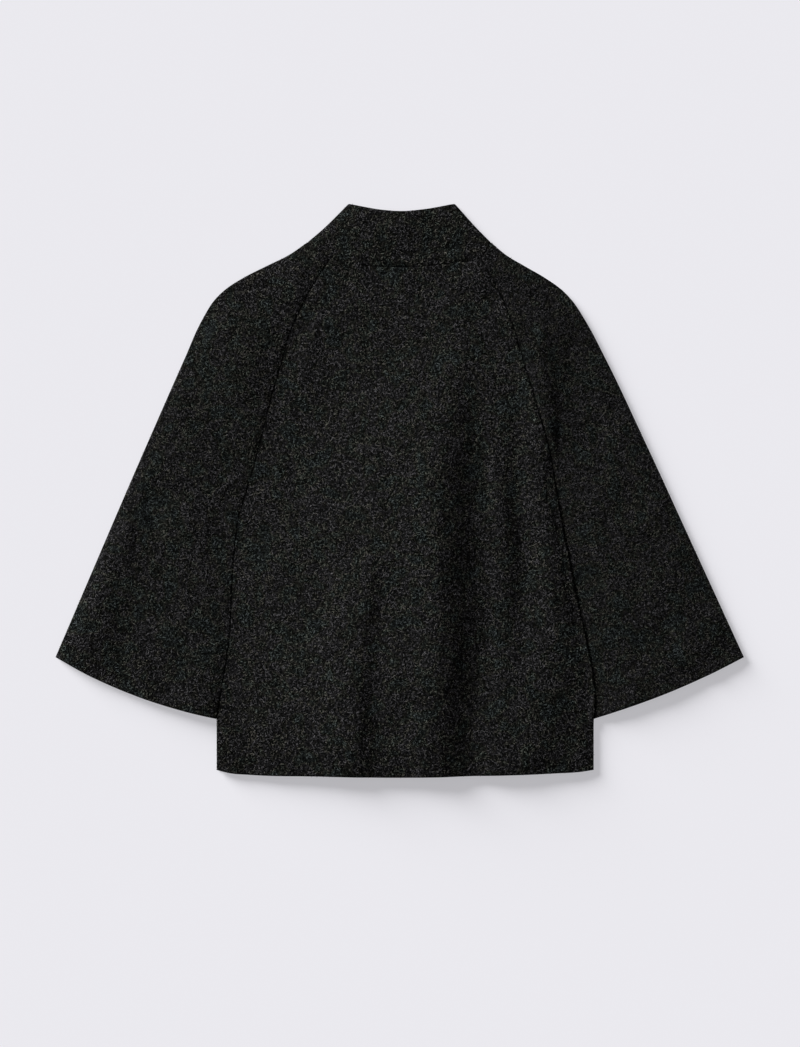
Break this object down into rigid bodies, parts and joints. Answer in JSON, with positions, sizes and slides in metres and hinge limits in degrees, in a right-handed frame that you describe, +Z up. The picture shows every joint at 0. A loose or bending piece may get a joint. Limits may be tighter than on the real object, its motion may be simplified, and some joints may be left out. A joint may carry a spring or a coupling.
{
  "type": "raglan jacket",
  "caption": "Boxy short wool jacket with wide three-quarter raglan sleeves and a stand collar, laid out flat on its front with the back up.",
  "frame": {"origin": "centre of the laid-out jacket's box, on the surface that it lies on", "axes": "+X across the back towards the picture's right, +Y from the hem to the collar, +Z up out of the surface, towards the side that shows the back"},
  "size_m": [0.8612, 0.7173, 0.029],
  "materials": {
    "boucle": "matt curly boucle wool, charcoal with a few grey, teal and olive fibres"
  },
  "bodies": {
    "root": {"back": "boucle", "front_left": "boucle", "front_right": "boucle", "sleeve_back_left": "boucle", "sleeve_back_right": "boucle", "sleeve_front_left": "boucle", "sleeve_front_right": "boucle", "collar": "boucle"}
  },
  "joints": []
}
